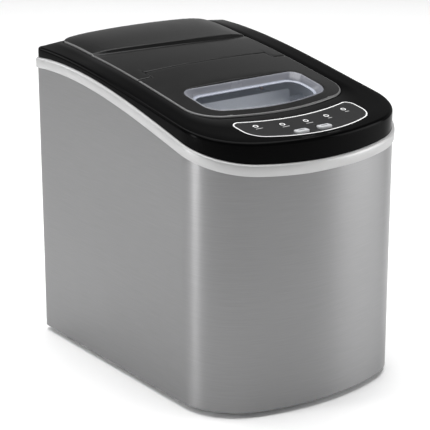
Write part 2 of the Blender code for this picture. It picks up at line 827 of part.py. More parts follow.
def make_evaporator():
    plate = block("evaporator", (-64.0, -10.0, EVAPORATOR_LOW), (64.0, 14.0, EVAPORATOR_LOW + 7), "nickel")
    fingers = []
    for y, places in FINGER_ROWS:
        for x in places:
            name = f"finger_{len(fingers)}"
            tip, root = FINGER_TIP, EVAPORATOR_LOW + 1.0
            profile = [(0.0, tip), (2.4, tip + 0.8), (FINGER_RADIUS, tip + 3.5), (FINGER_RADIUS, root)]
            fingers.append(turned(name, profile, "nickel", (x, y, 0.0), steps=10))
    join(plate, *fingers)
    roof = EVAPORATOR_LOW + 7 + GAP
    bracket = block("evaporator_bracket", (-50.0, -14.0, roof), (50.0, 41.0, roof + 2), "galvanised")
    join(bracket, block("bracket_lip", (-50.0, 39.0, 256.0), (50.0, 41.0, roof + 1), "galvanised"))


def make_tray_motor():
    y, z = TRAY_AXIS
    start = TANK_HALF + TANK_WALL + GAP
    profile = [(7.0, 0.0), (16.0, 0.0), (16.0, 14.0), (11.0, 14.0), (11.0, 24.0)]
    turned("tray_motor", profile, "galvanised", (start, y, z), "X")


def make_pump_and_sensors():
    profile = [(13.0, 0.0), (13.0, 26.0), (9.0, 30.0), (9.0, 36.0)]
    turned("water_pump", profile, "plain_black", (58.0, 24.0, TANK_FLOOR + GAP))
    route = [(71.6, 24.0, 76.0), (75.0, 25.0, 77.0), (77.5, 31.0, 88.0), (78.0, 35.0, 110.0)]
    route += [(78.0, 35.0, 180.0), (78.0, 35.0, 240.0), (76.0, 34.0, 258.0), (70.0, 29.0, 264.0)]
    route += [(60.0, 22.0, 262.0)]
    tube("water_hose", route, 2.8, "rubber")
    for side, x in (("left", -83.7), ("right", 79.7)):
        block(f"ice_sensor_{side}", (x, -64.0, 240.0), (x + 4.0, -52.0, 254.0), "plain_black", bevel=0.8)
    float_profile = [(5.0, 0.0), (5.0, 16.0), (2.0, 18.0), (2.0, 26.0)]
    turned("water_sensor", float_profile, "plain_black", (-66.0, 26.0, TANK_FLOOR + GAP))


# ---- Cooling circuit and electrics -------------------------------------------------------


def make_compressor():
    x, y = COMPRESSOR
    low = 22.0
    profile = [(38.0, 0.0), (COMPRESSOR_RADIUS, 6.0), (COMPRESSOR_RADIUS, 84.0)]
    profile += [(38.0, 100.0), (20.0, 109.0), (0.0, 112.0)]
    shell = turned("compressor", profile, "painted", (x, y, low), steps=20)
    join(shell, block("compressor_foot", (x - 46, y - 40, low - 3), (x + 46, y + 40, low + 0.5), "painted"))
    places = ((-38.0, -32.0), (38.0, -32.0), (0.0, 34.0))
    for i, (dx, dy) in enumerate(places):
        grommet = [(7.0, 0.0), (7.0, 9.4)]
        turned(f"compressor_grommet_{i + 1}", grommet, "rubber", (x + dx, y + dy, 9.3), steps=12)
    block("terminal_cover", (x - 14, 57.5, 62.0), (x + 14, 64.2, 98.0), "plain_black", bevel=1.5)


def make_condenser_and_fan():
    x, z = FAN
    low, high = CONDENSER
    block("condenser", low, high, "fins", bevel=1.0)
    shroud = block("fan_shroud", (low[0], 112.0, 40.0), (high[0], 125.0, 152.0), "plain_black")
    cut(shroud, rod("shroud_way", FAN_RADIUS + 3, (x, 105.0, z), 30.0, "painted", "Y", 20))
    bracket = block("motor_bracket", (x - 20, 88.0, 9.4), (x + 20, 90.0, z + 22), "galvanised")
    cut(bracket, rod("bracket_way", 4.0, (x, 80.0, z), 20.0, "galvanised", "Y"))
    profile = [(0.0, 0.0), (17.0, 1.0), (17.0, 24.0), (9.0, 26.7), (2.5, 26.7), (2.5, 36.0)]
    turned("fan_motor", profile, "galvanised", (x, 61.0, z), "Y")
    rings = []
    for y, twist in ((98.0, -0.22), (103.0, 0.0), (108.0, 0.22)):
        ring = []
        for i in range(30):
            turn = 2 * math.pi * i / 30
            radius = FAN_RADIUS if i % 6 in (1, 2, 3) else 11.0
            ring.append((x + radius * math.cos(turn + twist), y, z + radius * math.sin(turn + twist)))
        rings.append(ring)
    blade = lofted("fan_blade", rings, "plain_black", smooth=False)
    put_origin(blade, (x, 103.0, z))


def make_tubes():
    x, y = COMPRESSOR
    discharge = [(x, y, 134.5), (x, y, 150.0), (x + 20, y + 12, 172.0), (10.0, 138.0, 186.0)]
    discharge += [(50.0, 138.0, 188.0), (62.0, 138.0, 188.0), (68.0, 138.0, 183.0), (68.0, 138.0, 176.8)]
    tube("discharge_tube", discharge, 2.6, "copper")
    suction = [(-63.0, 14.6, 275.0), (-63.0, 34.0, 280.0), (-64.0, 60.0, 272.0), (-68.0, 78.0, 230.0)]
    suction += [(-78.0, 84.0, 180.0), (-84.0, 90.0, 150.0), (-84.0, 92.0, 127.0)]
    tube("suction_tube", suction, 3.0, "copper")
    drier = [(3.0, 0.0), (8.5, 6.0), (8.5, 50.0), (3.0, 56.0)]
    turned("filter_drier", drier, "copper", (4.0, 70.0, 150.0))
    liquid = [(4.0, 70.0, 206.4), (4.0, 70.0, 220.0), (20.0, 68.0, 244.0), (50.0, 66.0, 262.0)]
    liquid += [(62.0, 56.0, 274.0), (63.0, 34.0, 279.0), (63.0, 14.5, 273.0)]
    tube("capillary_tube", liquid, 1.6, "copper")
    feed = [(4.0, 70.0, 149.6), (4.0, 74.0, 130.0), (6.0, 100.0, 80.0)]
    feed += [(6.0, 132.0, 50.0), (11.0, 138.0, 46.0), (17.3, 138.0, 46.0)]
    tube("condenser_outlet", feed, 2.4, "copper")
    block("hot_gas_valve", (-12.0, 86.0, 202.0), (10.0, 106.0, 236.0), "copper", bevel=2.0)


def make_main_board():
    board = block("main_board", (16.0, 158.0, 190.0), (108.0, 159.6, 268.0), "board")
    join(board, block("transformer", (24.0, 134.0, 200.0), (58.0, 159.0, 232.0), "painted", bevel=1.5))
    block("board_tray", (12.0, 160.0, 186.0), (112.0, 162.0, 272.0), "plain_black")


# ---- Assembly ----------------------------------------------------------------------------


def clear_scene():
    for existing in list(bpy.data.objects):
        bpy.data.objects.remove(existing, do_unlink=True)


def build():
    clear_scene()
    make_base_pan()
    make_feet()
    make_outer_casing()
    make_rear_panel()
    make_cord_gland()
    make_trim_ring()
    make_top_housing()
    make_rear_cover()
    make_lid()
    make_controls()
    make_tank()
    make_insulation()
    make_drain_cap()
    make_basket()
    make_tray()
    make_shovel()
    make_evaporator()
    make_tray_motor()
    make_pump_and_sensors()
    make_compressor()
    make_condenser_and_fan()
    make_tubes()
    make_main_board()


build()
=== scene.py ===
"""The looks of a countertop bullet-ice maker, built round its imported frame.

Lengths below are millimetres unless a name says otherwise. MM turns them into metres.
+Z is up, the front is towards -Y, and the origin is on the ground under the middle.
"""

import json
import math

import bmesh
import bpy
from mathutils import Matrix, Vector


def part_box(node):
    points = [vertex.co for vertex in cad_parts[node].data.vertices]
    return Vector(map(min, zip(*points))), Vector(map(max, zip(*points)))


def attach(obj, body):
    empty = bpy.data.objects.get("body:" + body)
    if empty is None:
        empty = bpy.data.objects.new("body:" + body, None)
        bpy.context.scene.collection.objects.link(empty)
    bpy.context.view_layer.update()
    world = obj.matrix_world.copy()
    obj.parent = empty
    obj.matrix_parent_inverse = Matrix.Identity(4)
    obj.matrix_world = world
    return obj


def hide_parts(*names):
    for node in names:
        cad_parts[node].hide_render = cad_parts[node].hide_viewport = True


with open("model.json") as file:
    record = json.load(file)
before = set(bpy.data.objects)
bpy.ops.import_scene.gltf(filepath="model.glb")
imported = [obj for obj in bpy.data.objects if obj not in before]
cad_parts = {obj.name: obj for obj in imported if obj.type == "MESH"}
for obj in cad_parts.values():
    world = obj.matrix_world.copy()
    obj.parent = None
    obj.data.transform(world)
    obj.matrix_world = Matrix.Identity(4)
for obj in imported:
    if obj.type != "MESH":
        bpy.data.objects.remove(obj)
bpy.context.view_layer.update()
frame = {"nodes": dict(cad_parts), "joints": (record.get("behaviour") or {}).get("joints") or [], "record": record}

MM = 0.001


def node_box(node):
    """The lowest and highest corners of a CAD node, in millimetres."""
    low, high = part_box(node)
    return low / MM, high / MM


def joint_place(name):
    """The point in millimetres that a CAD joint turns about."""
    found = next(joint for joint in frame["joints"] if joint["name"] == name)
    return Vector(found["pos_m"]) / MM


# ---- Driving sizes -----------------------------------------------------------------------

CASE_LOW, CASE_HIGH = node_box("outer_casing")
CASE_HALF = CASE_HIGH.x
CASE_REAR = CASE_HIGH.y
CASE_DEPTH = 2 * CASE_REAR
CASE_BOTTOM = CASE_LOW.z
SHEET = 0.8
FRONT_RADIUS = 249.5
FRONT_CORNER = 66.5
REAR_CORNER = 8.0

# Sweeping edges from front to rear: (front height, front slope, rear height, rear slope).
TRIM_SWEEP = (242.5, 0.223, 295.4, -0.106)
DECK_SWEEP = (276.5, 0.112, 318.8, -0.016)
TRIM_HEIGHT = 11.5

PANEL_HALF = 95.0
PANEL_FRONT = -101.0
PANEL_REAR = 164.5
PANEL_RADIUS = 265.0
PANEL_CORNER = 35.0
PANEL_REAR_CORNER = 10.0
PANEL_CROWN = 3.0
CROWN_RUN = 60.0
PANEL_THICKNESS = 2.6
PANEL_EDGE = 1.4  # radius rolled over along the lid's and the cover's edges
REAR_LIFT = 2.4
TOP_DROP = 0.5  # how far the housing's top lies under the deck's sweep

CORNER_Y = PANEL_FRONT + PANEL_RADIUS - math.sqrt(
    (PANEL_RADIUS - PANEL_CORNER) ** 2 - (PANEL_HALF - PANEL_CORNER) ** 2
)

# The step in the rear cover: its place, bow and skew, its run and rise, and the dip in front.
RISER_Y = 95.0
LEVEL_ROW = 37.0  # from here to the rear every column of the cover has its rows at one y
RISER_BOW = 7.0
RISER_SKEW = 6.0
RISER_RUN = 3.0
VALLEY = 0.9
RISE = 3.0

HINGE = joint_place("lid_hinge")
TONGUE_HALF = 76.6
TONGUE_REAR = 31.6
LID_SHOULDER = 18.0
SEAM = 0.8

WINDOW_HALF = 74.0
WINDOW_REAR = -23.0
WINDOW_FRONT = -89.0
WINDOW_RADIUS = 210.0
WINDOW_CORNER = 20.0
WINDOW_REAR_CORNER = 12.0
WINDOW_DEPTH = 7.0

OVERLAY_HALF = 75.0
OVERLAY_REAR = -106.0
OVERLAY_FRONT = -159.0
OVERLAY_RADIUS = 160.0
OVERLAY_CORNER = 24.0
OVERLAY_REAR_CORNER = 9.0
OVERLAY_SAG = 10.0

# The camera stands off to the front left, a little above the lid.
CAMERA_PLACE = Vector((-994.8, -1322.1, 691.6))
CAMERA_TURN = math.radians(36.61)
CAMERA_TILT = math.radians(18.06)
CAMERA_LENS = 139.4

BLADE_HALF = 66.0
TRAY_CORNER = 6.0
BASKET_CORNER = 11.0
LONG_MARK, SHORT_MARK = 4.2, 2.6

STEEL_DARK = (0.212, 0.212, 0.214)
STEEL_LIGHT = (0.24, 0.24, 0.242)

# Name, place and size in metres, and power in watts.
LIGHTS = (
    ("overhead", (0.1, 0.2, 2.6), (2.8, 2.8), 112.0),
    ("front_right", (2.0, -1.4, 0.7), (1.3, 1.4), 24.0),
    ("left_strip", (-1.75, 0.42, 0.6), (0.30, 1.2), 11.0),
    ("rear_left", (-1.1, 1.9, 1.3), (1.0, 1.0), 9.0),
)


# ---- Materials ---------------------------------------------------------------------------


class Shader:
    """A Principled material whose colour, roughness and bump come from procedural textures."""

    def __init__(self, name, roughness=0.4, metallic=0.0, specular=0.5):
        self.made = bpy.data.materials.new(name)
        self.made.use_nodes = True
        self.tree = self.made.node_tree
        self.surface = self.tree.nodes["Principled BSDF"]
        self.set(Roughness=roughness, Metallic=metallic)
        self.surface.inputs["Specular IOR Level"].default_value = specular
        self.place = self.node("ShaderNodeTexCoord").outputs["Object"]

    def node(self, kind, **inputs):
        made = self.tree.nodes.new(kind)
        for key, value in inputs.items():
            made.inputs[key.replace("_", " ")].default_value = value
        return made

    def link(self, source, target):
        self.tree.links.new(source, target)

    def set(self, **inputs):
        for key, value in inputs.items():
            self.surface.inputs[key.replace("_", " ")].default_value = value

    def stretched(self, stretch):
        mapping = self.node("ShaderNodeMapping", Scale=stretch)
        self.link(self.place, mapping.inputs["Vector"])
        return mapping.outputs["Vector"]

    def noise(self, scale, stretch=(1.0, 1.0, 1.0), detail=4.0):
        made = self.node("ShaderNodeTexNoise", Scale=scale, Detail=detail)
        self.link(self.stretched(stretch), made.inputs["Vector"])
        return made.outputs["Fac"]

    def ramp(self, source, low, high, start=0.3, end=0.7):
        made = self.node("ShaderNodeValToRGB")
        made.color_ramp.elements[0].position = start
        made.color_ramp.elements[1].position = end
        made.color_ramp.elements[0].color = (*low, 1.0)
        made.color_ramp.elements[1].color = (*high, 1.0)
        self.link(source, made.inputs["Fac"])
        return made.outputs["Color"]

    def colour(self, source, low, high, start=0.3, end=0.7):
        self.link(self.ramp(source, low, high, start, end), self.surface.inputs["Base Color"])

    def rough(self, source, low, high):
        made = self.node("ShaderNodeMapRange")
        made.inputs["From Min"].default_value = 0.3
        made.inputs["From Max"].default_value = 0.7
        made.inputs["To Min"].default_value = low
        made.inputs["To Max"].default_value = high
        self.link(source, made.inputs["Value"])
        self.link(made.outputs["Result"], self.surface.inputs["Roughness"])

    def bump(self, source, strength, distance):
        made = self.node("ShaderNodeBump", Strength=strength, Distance=distance)
        self.link(source, made.inputs["Height"])
        self.link(made.outputs["Normal"], self.surface.inputs["Normal"])


def varied(name, low, high, roughness, scale=60.0, stretch=(1, 1, 1), bump=0.05, **settings):
    """A material with gentle colour variation, uneven gloss and a fine moulded or brushed grain."""
    shader = Shader(name, **settings)
    broad = shader.noise(scale * 0.15, stretch)
    fine = shader.noise(scale * 12, stretch, 6.0)
    shader.colour(broad, low, high)
    shader.rough(shader.noise(scale, stretch), *roughness)
    shader.bump(fine, bump, 0.0002)
    return shader.made


def brushed_steel():
    """Steel sheet brushed round the case, so its fine lines run level."""
    shader = Shader("brushed_steel", metallic=1.0)
    lines = shader.noise(2600.0, (0.012, 0.012, 1.0), 8.0)
    broad = shader.noise(6.0, (0.4, 0.4, 1.0), 2.0)
    shader.colour(lines, STEEL_DARK, STEEL_LIGHT, 0.25, 0.75)
    shader.rough(broad, 0.36, 0.40)
    shader.bump(lines, 0.03, 0.00002)
    shader.set(Anisotropic=0.75, Anisotropic_Rotation=0.25)
    return shader.made


def clear_plastic():
    """A faintly blue clear pane that lets light through to what lies under it."""
    shader = Shader("clear_plastic", specular=0.35)
    shader.colour(shader.noise(8.0), (0.30, 0.34, 0.42), (0.36, 0.40, 0.48))
    shader.rough(shader.noise(20.0), 0.04, 0.08)
    shader.set(Alpha=0.05)
    return shader.made


def make_materials():
    """Every finish by name."""
    grain = {"scale": 90.0}
    return {
        "steel": brushed_steel(),
        "silver": varied("satin_silver", (0.43, 0.43, 0.43), (0.47, 0.47, 0.47), (0.36, 0.46), metallic=0.35),
        "gloss_black": varied(
            "gloss_black", (0.0012, 0.0012, 0.0013), (0.0018, 0.0018, 0.0019), (0.12, 0.18),
            bump=0.01, specular=0.026
        ),
        "satin_black": varied(
            "moulded_black", (0.008, 0.008, 0.008), (0.010, 0.010, 0.010), (0.2, 0.26),
            bump=0.03, specular=0.16
        ),
        "overlay": varied(
            "printed_film", (0.007, 0.007, 0.0075), (0.009, 0.009, 0.0095), (0.3, 0.36),
            bump=0.05, specular=0.2
        ),
        "print": varied("white_print", (0.74, 0.74, 0.74), (0.82, 0.82, 0.82), (0.4, 0.5), bump=0.02),
        "print_grey": varied("grey_print", (0.30, 0.30, 0.30), (0.36, 0.36, 0.36), (0.4, 0.5), bump=0.02),
        # The rolled edge of the lid and the rear cover: over ten times lighter than their satin black, a painted
        # highlight along the edge.
        "edge": varied("panel_edge_painted_highlight", (0.085, 0.085, 0.085), (0.105, 0.105, 0.105), (0.3, 0.4), bump=0.02),
        "lens": varied("lamp_lens", (0.02, 0.022, 0.024), (0.035, 0.036, 0.04), (0.12, 0.2), bump=0.01),
        "button_grey": varied("button_grey", (0.40, 0.41, 0.42), (0.46, 0.47, 0.48), (0.35, 0.45), bump=0.05),
        "ink": varied("dark_ink", (0.05, 0.05, 0.055), (0.07, 0.07, 0.075), (0.4, 0.5), bump=0.02),
        "clear": clear_plastic(),
        "bezel": varied("window_bezel", (0.13, 0.135, 0.155), (0.17, 0.175, 0.20), (0.2, 0.3), bump=0.02),
        # The lip along the foot of the window's walls: a lighter blue than the bezel, a painted highlight along
        # the fillet.
        "lip": varied("window_lip_painted_highlight", (0.26, 0.28, 0.34), (0.34, 0.36, 0.42), (0.2, 0.3), bump=0.02),
        "white": varied("white_plastic", (0.74, 0.77, 0.82), (0.80, 0.83, 0.88), (0.28, 0.4), **grain),
        "grey": varied("grey_plastic", (0.17, 0.18, 0.20), (0.21, 0.22, 0.24), (0.3, 0.4), **grain),
        "foam": varied("foam", (0.60, 0.56, 0.42), (0.72, 0.68, 0.54), (0.85, 0.95), bump=0.6, **grain),
        "copper": varied(
            "copper", (0.62, 0.28, 0.16), (0.78, 0.38, 0.22), (0.25, 0.4), metallic=1.0, **grain
        ),
        "fins": varied(
            "fins", (0.36, 0.36, 0.37), (0.5, 0.5, 0.51), (0.35, 0.5), stretch=(8, 1, 1),
            bump=0.5, metallic=1.0
        ),
        "nickel": varied("nickel", (0.5, 0.5, 0.48), (0.6, 0.6, 0.58), (0.18, 0.3), metallic=1.0),
        "rubber": varied(
            "rubber", (0.014, 0.014, 0.014), (0.024, 0.024, 0.024), (0.7, 0.85), bump=0.4, **grain
        ),
        "painted": varied("black_enamel", (0.012, 0.012, 0.013), (0.02, 0.02, 0.022), (0.35, 0.5), bump=0.2),
        "plain_black": varied(
            "black_moulding", (0.02, 0.02, 0.021), (0.03, 0.03, 0.031), (0.45, 0.6), bump=0.3
        ),
        "galvanised": varied(
            "galvanised", (0.40, 0.41, 0.42), (0.52, 0.53, 0.54), (0.38, 0.55), scale=160.0, metallic=0.9
        ),
        "board": varied(
            "circuit_board", (0.01, 0.12, 0.05), (0.02, 0.18, 0.08), (0.3, 0.45), bump=0.3, **grain
        ),
        "screw": varied("screw", (0.42, 0.42, 0.42), (0.55, 0.55, 0.55), (0.22, 0.35), metallic=1.0),
        "light": varied("lamp_body", (0.30, 0.31, 0.32), (0.36, 0.37, 0.38), (0.3, 0.4), bump=0.02),
    }


LOOKS = make_materials()


def dress_cad():
    """Gives every CAD node the finish of its slot in the record."""
    for part in frame["record"]["subparts"]:
        piece = frame["nodes"][part["node"]]
        piece.data.materials.clear()
        piece.data.materials.append(LOOKS[part["material_slot"]])


# ---- Making pieces -----------------------------------------------------------------------


def finished(name, build, look, body, replaces=(), sharp=40.0, second=None):
    """Turns a bmesh in millimetres into a smooth piece in metres that rides on a body."""
    bmesh.ops.recalc_face_normals(build, faces=build.faces)
    bmesh.ops.scale(build, vec=(MM, MM, MM), verts=build.verts)
    data = bpy.data.meshes.new(name)
    build.to_mesh(data)
    build.free()
    data.shade_smooth()
    data.set_sharp_from_angle(angle=math.radians(sharp))
    data.materials.append(LOOKS[look])
    if second:
        data.materials.append(LOOKS[second])
    piece = bpy.data.objects.new(name, data)
    bpy.context.scene.collection.objects.link(piece)
    if body:
        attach(piece, body)
    if replaces:
        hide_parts(*replaces)
    return piece


def loft(rings, joined_ends=False):
    """Skins closed rings of points in order, with caps unless the last ring joins the first."""
    build = bmesh.new()
    add_loft(build, rings, joined_ends)
    return build


def add_loft(build, rings, joined_ends=False):
    rows = [[build.verts.new(point) for point in ring] for ring in rings]
    pairs = list(zip(rows, rows[1:]))
    if joined_ends:
        pairs.append((rows[-1], rows[0]))
    for low, high in pairs:
        count = len(low)
        for i in range(count):
            j = (i + 1) % count
            build.faces.new((low[i], low[j], high[j], high[i]))
    if not joined_ends:
        build.faces.new(rows[0])
        build.faces.new(rows[-1])


def add_turned(build, profile, centre=(0.0, 0.0, 0.0), axis="Z", steps=32):
    """Adds a solid of revolution from (radius, height) points, along an axis from its centre."""
    turn = {
        "X": Matrix.Rotation(math.pi / 2, 4, "Y"),
        "Y": Matrix.Rotation(-math.pi / 2, 4, "X"),
        "Z": Matrix.Identity(4),
    }[axis]
    place = Matrix.Translation(Vector(centre)) @ turn
    rings = []
    for radius, height in profile:
        ring = []
        for i in range(steps):
            angle = 2 * math.pi * i / steps
            point = Vector((max(radius, 0.01) * math.cos(angle), max(radius, 0.01) * math.sin(angle), height))
            ring.append(place @ point)
        rings.append(ring)
    add_loft(build, rings)


def add_slab(build, low, high, radius=1.0, steps=4):
    """Adds a box with rounded upright corners and rolled top and bottom edges."""
    rings = []
    for k in range(steps + 1):
        turn = math.pi / 2 * k / steps
        rings.append((radius * (1 - math.sin(turn)), low[2] + radius * (1 - math.cos(turn))))
    for k in range(steps + 1):
        turn = math.pi / 2 * k / steps
        rings.append((radius * (1 - math.cos(turn)), high[2] - radius * (1 - math.sin(turn))))
    add_loft(build, [lifted(rounded_box(low, high, radius * 1.01, inset), z) for inset, z in rings])


def rounded_box(low, high, radius, inset=0.0):
    """A plan rectangle with round corners, drawn in by inset."""
    radius = max(radius - inset, 0.01)
    x0, x1 = low[0] + inset + radius, high[0] - inset - radius
    y0, y1 = low[1] + inset + radius, high[1] - inset - radius
    return (
        arc((x1, y1), radius, 0, 90, 5)
        + arc((x0, y1), radius, 90, 180, 5)
        + arc((x0, y0), radius, 180, 270, 5)
        + arc((x1, y0), radius, 270, 360, 5)
    )


def cut(piece, build):
    """Cuts a bmesh in millimetres from a piece for good."""
    cutter = finished("cutter", build, "ink", None)
    step = piece.modifiers.new("cut", "BOOLEAN")
    step.operation = "DIFFERENCE"
    step.object = cutter
    apply_modifiers(piece)
    bpy.data.objects.remove(cutter)


def apply_modifiers(piece):
    graph = bpy.context.evaluated_depsgraph_get()
    data = bpy.data.meshes.new_from_object(piece.evaluated_get(graph))
    piece.modifiers.clear()
    piece.data = data


# ---- Outlines and surfaces ---------------------------------------------------------------


def arc(centre, radius, start, end, steps):
    points = []
    for i in range(steps + 1):
        turn = math.radians(start + (end - start) * i / steps)
        points.append((centre[0] + radius * math.cos(turn), centre[1] + radius * math.sin(turn)))
    return points


def bowed_outline(half, front, rear, bow, corner, rear_corner, inset=0.0):
    """A plan outline with straight sides, a bowed front and rounded corners, drawn in by inset."""
    bow_y = front + bow
    half, rear, bow = half - inset, rear - inset, bow - inset
    corner = max(corner - inset, 1.0)
    rear_corner = max(rear_corner - inset, 0.5)
    corner_x = half - corner
    corner_y = bow_y - math.sqrt((bow - corner) ** 2 - corner_x**2)
    swing = math.degrees(math.atan2(corner_x, bow_y - corner_y))
    left_rear = arc((rear_corner - half, rear - rear_corner), rear_corner, 90, 180, 8)
    left_front = arc((-corner_x, corner_y), corner, 180, 270 - swing, 24)
    front_arc = arc((0.0, bow_y), bow, 270 - swing, 270 + swing, 40)[1:-1]
    side_steps = 40
    top_y, low_y = left_rear[-1][1], left_front[0][1]
    side = [(-half, top_y + (low_y - top_y) * i / side_steps) for i in range(1, side_steps)]
    left = left_rear + side + left_front
    right = [(-x, y) for x, y in reversed(left)]
    return left + front_arc + right


def case_outline(inset=0.0):
    return bowed_outline(CASE_HALF, -CASE_REAR, CASE_REAR, FRONT_RADIUS, FRONT_CORNER, REAR_CORNER, inset)


def panel_outline(inset=0.0):
    return bowed_outline(
        PANEL_HALF, PANEL_FRONT, PANEL_REAR, PANEL_RADIUS, PANEL_CORNER, PANEL_REAR_CORNER, inset
    )


def window_outline(inset=0.0, extra=0.0):
    """The window's outline drawn in by inset, with its corners rounded by extra."""
    corner, rear_corner = WINDOW_CORNER + extra, WINDOW_REAR_CORNER + extra
    return bowed_outline(WINDOW_HALF, WINDOW_FRONT, WINDOW_REAR, WINDOW_RADIUS, corner, rear_corner, inset)


def overlay_outline(inset=0.0):
    """The control panel's curved band, whose rear edge bows forwards with its front edge."""
    band = bowed_outline(
        OVERLAY_HALF, OVERLAY_FRONT, OVERLAY_REAR, OVERLAY_RADIUS, OVERLAY_CORNER, OVERLAY_REAR_CORNER, inset
    )
    reach = OVERLAY_HALF - OVERLAY_REAR_CORNER
    steps = 40
    for i in range(1, steps):
        across = 1 - 2 * i / steps
        sag = OVERLAY_SAG * (1 - across**2)
        band.append((reach * across, OVERLAY_REAR - inset - sag))
    return band


def mixed(first, second, share):
    return [(a[0] + (b[0] - a[0]) * share, a[1] + (b[1] - a[1]) * share) for a, b in zip(first, second)]


def sweep(curve, y):
    """Height of a sweeping edge, as a cubic between its two ends."""
    low, low_slope, high, high_slope = curve
    t = min(max((y + CASE_REAR) / CASE_DEPTH, 0.0), 1.0)
    return (
        low * (2 * t**3 - 3 * t**2 + 1)
        + low_slope * CASE_DEPTH * (t**3 - 2 * t**2 + t)
        + high * (3 * t**2 - 2 * t**3)
        + high_slope * CASE_DEPTH * (t**3 - t**2)
    )


def trim_height(y):
    return sweep(TRIM_SWEEP, y)


def deck_height(y):
    return sweep(DECK_SWEEP, y)


def panel_height(x, y):
    """The surface of the lid and the rear cover, crowned across and rolled down at its front edge."""
    across = min(abs(x) / PANEL_HALF, 1.0)
    along = min(max((y - PANEL_FRONT) / CROWN_RUN, 0.0), 1.0)
    crown = PANEL_CROWN * (1 - across**2) * (1 - (1 - along) ** 2)
    return deck_height(y) + 0.3 + crown


def smooth(start, end, value):
    share = min(max((value - start) / (end - start), 0.0), 1.0)
    return share * share * (3 - 2 * share)


def rear_lift(y):
    """How far the panel's edge and the housing beside it climb above the sweep at the rear."""
    return REAR_LIFT * smooth(85.0, 160.0, y)


def lifted(outline, height):
    """A ring of points at a height that is a number, or a function of x and y."""
    if callable(height):
        return [(x, y, height(x, y)) for x, y in outline]
    return [(x, y, height) for x, y in outline]


def above_trim(rise):
    return lambda x, y: trim_height(y) + rise


def deck(drop):
    return lambda x, y: deck_height(y) - drop


def climbing_deck(drop, share):
    return lambda x, y: deck_height(y) - drop + share * rear_lift(y)


def panel(drop):
    return lambda x, y: panel_height(x, y) - drop


def shrunk(outline, share):
    middle = (max(y for _, y in outline) + min(y for _, y in outline)) / 2
    return [(x * share, middle + (y - middle) * share) for x, y in outline]


def fillet(radius, steps=5):
    """Insets and drops of a quarter round, from its outer edge to its top."""
    pairs = []
    for k in range(steps + 1):
        turn = math.pi / 2 * k / steps
        pairs.append((radius * (1 - math.sin(turn)), radius * (1 - math.cos(turn))))
    return list(reversed(pairs))


# ---- Case --------------------------------------------------------------------------------


def make_casing():
    """A bent steel sheet with turned-in rear flanges and a hemmed lower edge."""
    flange = CASE_HALF - 22.0
    hem = 1.2
    build = bmesh.new()
    columns = []
    for inset in (0.0, SHEET):
        rear = CASE_REAR - inset
        path = [(-flange, rear), *case_outline(inset), (flange, rear)]
        columns.append(path)
    outer, inner = columns
    levels = [CASE_BOTTOM, CASE_BOTTOM + 0.35, CASE_BOTTOM + hem]
    rows = [
        [build.verts.new((x * 0.9985, y * 0.9985, levels[0])) for x, y in outer],
        [build.verts.new((x, y, levels[1])) for x, y in outer],
        [build.verts.new((x, y, levels[2])) for x, y in outer],
        [build.verts.new((x, y, trim_height(y))) for x, y in outer],
        [build.verts.new((x, y, trim_height(y))) for x, y in inner],
        [build.verts.new((x, y, levels[0])) for x, y in inner],
    ]
    for row, following in zip(rows, rows[1:] + rows[:1]):
        for i in range(len(row) - 1):
            build.faces.new((row[i], row[i + 1], following[i + 1], following[i]))
    for end in (0, -1):
        build.faces.new([row[end] for row in rows])
    finished("casing_sheet", build, "steel", "case", ["outer_casing"])


def make_trim():
    profile = [(2.2, 0.3), (-0.6, 0.3), (-1.5, 0.7), (-2.0, 1.7)]
    profile += [(-2.0, TRIM_HEIGHT - 3.0), (-1.7, TRIM_HEIGHT - 1.5), (-1.0, TRIM_HEIGHT - 0.5)]
    profile += [(0.0, TRIM_HEIGHT - 0.05), (2.2, TRIM_HEIGHT)]
    rings = [lifted(case_outline(inset), above_trim(rise)) for inset, rise in profile]
    finished("silver_trim", loft(rings, True), "silver", "case", ["trim_ring"])


def make_housing():
    """The gloss black top: an upright band, a rounded shoulder, a flat top and a ledge for the lid."""
    foot = above_trim(TRIM_HEIGHT + 0.3)
    shoulder = 3.2
    side = 0.6
    opening = panel_outline(-0.3)
    inner = case_outline(side + shoulder)
    rings = [lifted(case_outline(side), foot)]
    for inset, drop in fillet(shoulder, 8):
        rings.append(lifted(case_outline(side + inset), deck(TOP_DROP + drop)))
    rings.append(lifted(mixed(inner, opening, 0.25), climbing_deck(TOP_DROP, 0.3)))
    rings.append(lifted(mixed(inner, opening, 0.6), climbing_deck(TOP_DROP, 0.7)))
    for inset, drop in reversed(fillet(0.8, 3)):
        rings.append(lifted(panel_outline(-0.3 - inset), climbing_deck(TOP_DROP + drop, 1.0)))
    rings += [
        lifted(opening, deck(3.4)),
        lifted(panel_outline(5.0), deck(3.4)),
        lifted(panel_outline(5.0), deck(5.6)),
        lifted(panel_outline(-2.5), deck(5.6)),
        lifted(mixed(inner, opening, 0.6), deck(3.4)),
        lifted(case_outline(5.0), deck(4.5)),
        lifted(case_outline(3.4), foot),
    ]
    housing = finished(
        "black_housing", loft(rings, True), "gloss_black", "case", ["top_housing"]
    )
    cut(housing, button_wells())


# ---- Lid and rear cover ------------------------------------------------------------------


def ray_points(outline, centre, angles):
    """Where rays from a centre at the given angles cross a closed outline."""
    polar = sorted((math.atan2(y - centre[1], x - centre[0]), x, y) for x, y in outline)
    polar = [(polar[-1][0] - 2 * math.pi, *polar[-1][1:]), *polar, (polar[0][0] + 2 * math.pi, *polar[0][1:])]
    points = []
    at = 0
    for angle in angles:
        while polar[at + 1][0] < angle:
            at += 1
        _, x0, y0 = polar[at]
        _, x1, y1 = polar[at + 1]
        dx, dy = math.cos(angle), math.sin(angle)
        ex, ey = x1 - x0, y1 - y0
        across = dx * ey - dy * ex
        share = 0.0 if abs(across) < 1e-9 else ((x0 - centre[0]) * ey - (y0 - centre[1]) * ex) / across
        points.append((centre[0] + dx * share, centre[1] + dy * share))
    return points


